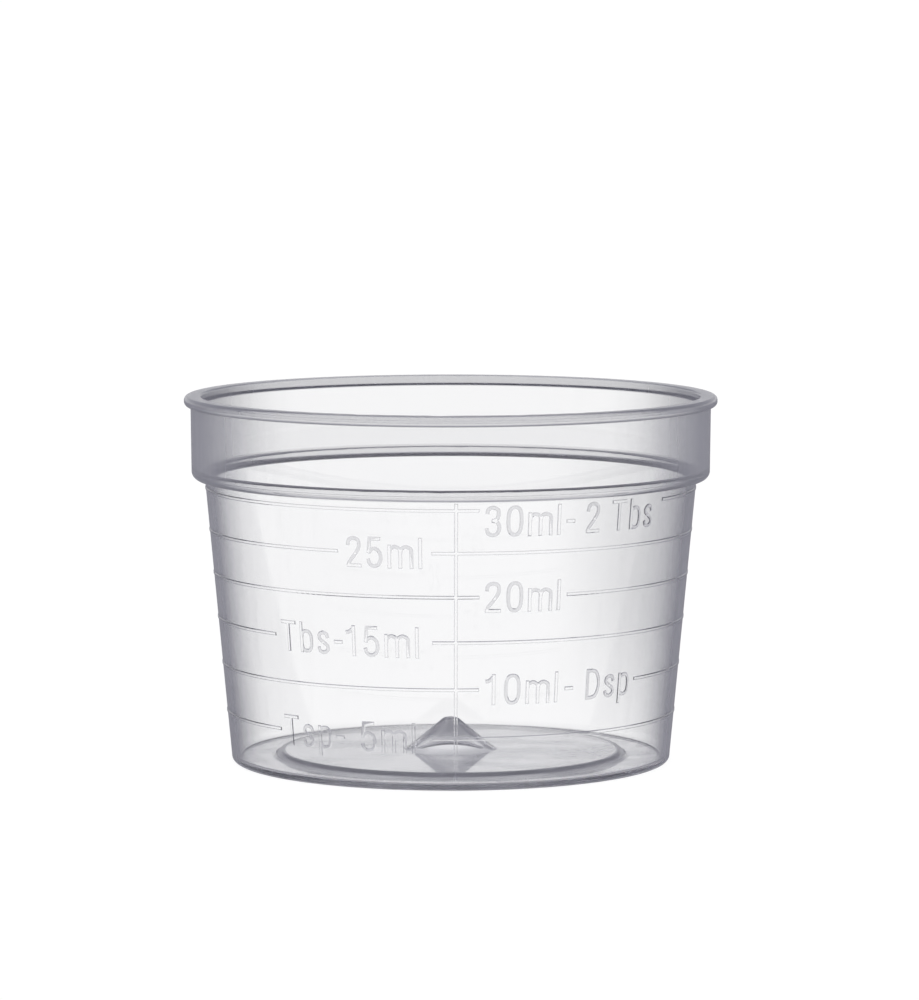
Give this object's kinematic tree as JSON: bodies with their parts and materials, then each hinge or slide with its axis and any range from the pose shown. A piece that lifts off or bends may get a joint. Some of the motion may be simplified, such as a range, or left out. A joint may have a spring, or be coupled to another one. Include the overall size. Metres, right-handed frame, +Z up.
{
  "type": "medicine cup",
  "caption": "Translucent moulded medicine cup with a tapered bowl, an upright collar, a beaded rim and raised volume marks.",
  "frame": {"origin": "centre of the base's standing ring, on the surface the cup stands on", "axes": "+Z up along the cup's axis, -Y towards the side with the marks and their upright line"},
  "size_m": [0.047, 0.047, 0.0325],
  "materials": {
    "cup_plastic": "natural translucent polypropylene, slightly milky, smooth moulded surface"
  },
  "bodies": {
    "root": {"medicine_cup": "cup_plastic"}
  },
  "joints": []
}
